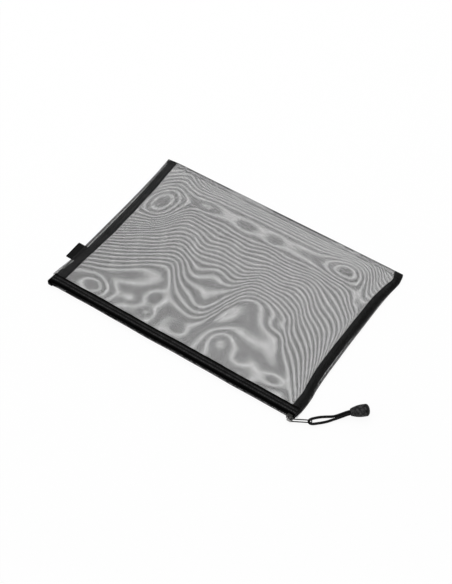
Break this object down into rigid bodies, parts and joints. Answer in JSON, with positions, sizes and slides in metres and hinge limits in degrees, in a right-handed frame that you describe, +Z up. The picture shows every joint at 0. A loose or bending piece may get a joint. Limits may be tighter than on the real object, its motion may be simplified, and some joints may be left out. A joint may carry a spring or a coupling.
{
  "type": "document wallet",
  "caption": "Flat zip wallet of black net for A4 papers, with bound side seams, a coil zip along the front, a wire puller on a cord loop and a webbing tab.",
  "frame": {"origin": "middle of the underside, on the surface that the wallet lies on", "axes": "+X along the zip towards the slider's closed end, +Y from the zip to the back fold, +Z up"},
  "size_m": [0.4095, 0.2458, 0.0141],
  "materials": {
    "net": "fine knitted nylon net, see-through",
    "binding_tape": "woven binding tape, matt",
    "thread": "spun sewing thread",
    "zip_tape": "herringbone woven zip tape",
    "coil": "nylon monofilament",
    "nickel": "nickel plate, lightly worn",
    "cord": "braided cord",
    "moulding": "fine moulded texture",
    "webbing": "ribbed woven webbing"
  },
  "bodies": {
    "wallet": {"net_top": "net", "net_bottom": "net", "net_back_fold": "net", "net_left_edge": "net", "net_right_edge": "net", "left_binding": "binding_tape", "right_binding": "binding_tape", "left_seam_stitches": "thread", "right_seam_stitches": "thread", "zip_tape_lower": "zip_tape", "zip_coil_lower": "coil", "coil_core_lower": "thread", "lower_hem_stitches": "thread", "zip_end_fold": "zip_tape", "loop_tab": "webbing"},
    "upper_lip": {"zip_tape_upper": "zip_tape", "zip_coil_upper": "coil", "coil_core_upper": "thread", "upper_hem_stitches": "thread"},
    "slider": {"slider_body": "nickel"},
    "puller": {"wire_puller": "nickel"},
    "pull": {"pull_cord": "cord", "cord_end": "moulding", "cord_end_cap": "moulding"}
  },
  "joints": [
    {"name": "zip_slide", "type": "slide", "parent": "wallet", "child": "slider", "axis": [1, 0, 0], "range_m": [-0.312, 0], "deforming": ["zip_tape_upper", "zip_tape_lower", "zip_coil_upper", "zip_coil_lower", "coil_core_upper", "coil_core_lower"]},
    {"name": "lip_lift", "type": "hinge", "parent": "wallet", "child": "upper_lip", "pos_m": [0, -0.1085, 0.0066], "axis": [-1, 0, 0], "range_deg": [0, 26]},
    {"name": "puller_swing", "type": "hinge", "parent": "slider", "child": "puller", "pos_m": [0.1671, -0.1237, 0.0038], "axis": [0, 0, 1], "range_deg": [-206, 0], "deforming": ["pull_cord"]},
    {"name": "cord_swing", "type": "hinge", "parent": "puller", "child": "pull", "pos_m": [0.18702, -0.1122, 0.0038], "axis": [0, 0, 1], "range_deg": [-30, 4]}
  ],
  "couplings": [
    {"joint": "lip_lift", "follows": "zip_slide", "rad_per_m": -1.3985},
    {"joint": "puller_swing", "follows": "zip_slide", "rad_per_m": 11.468}
  ]
}
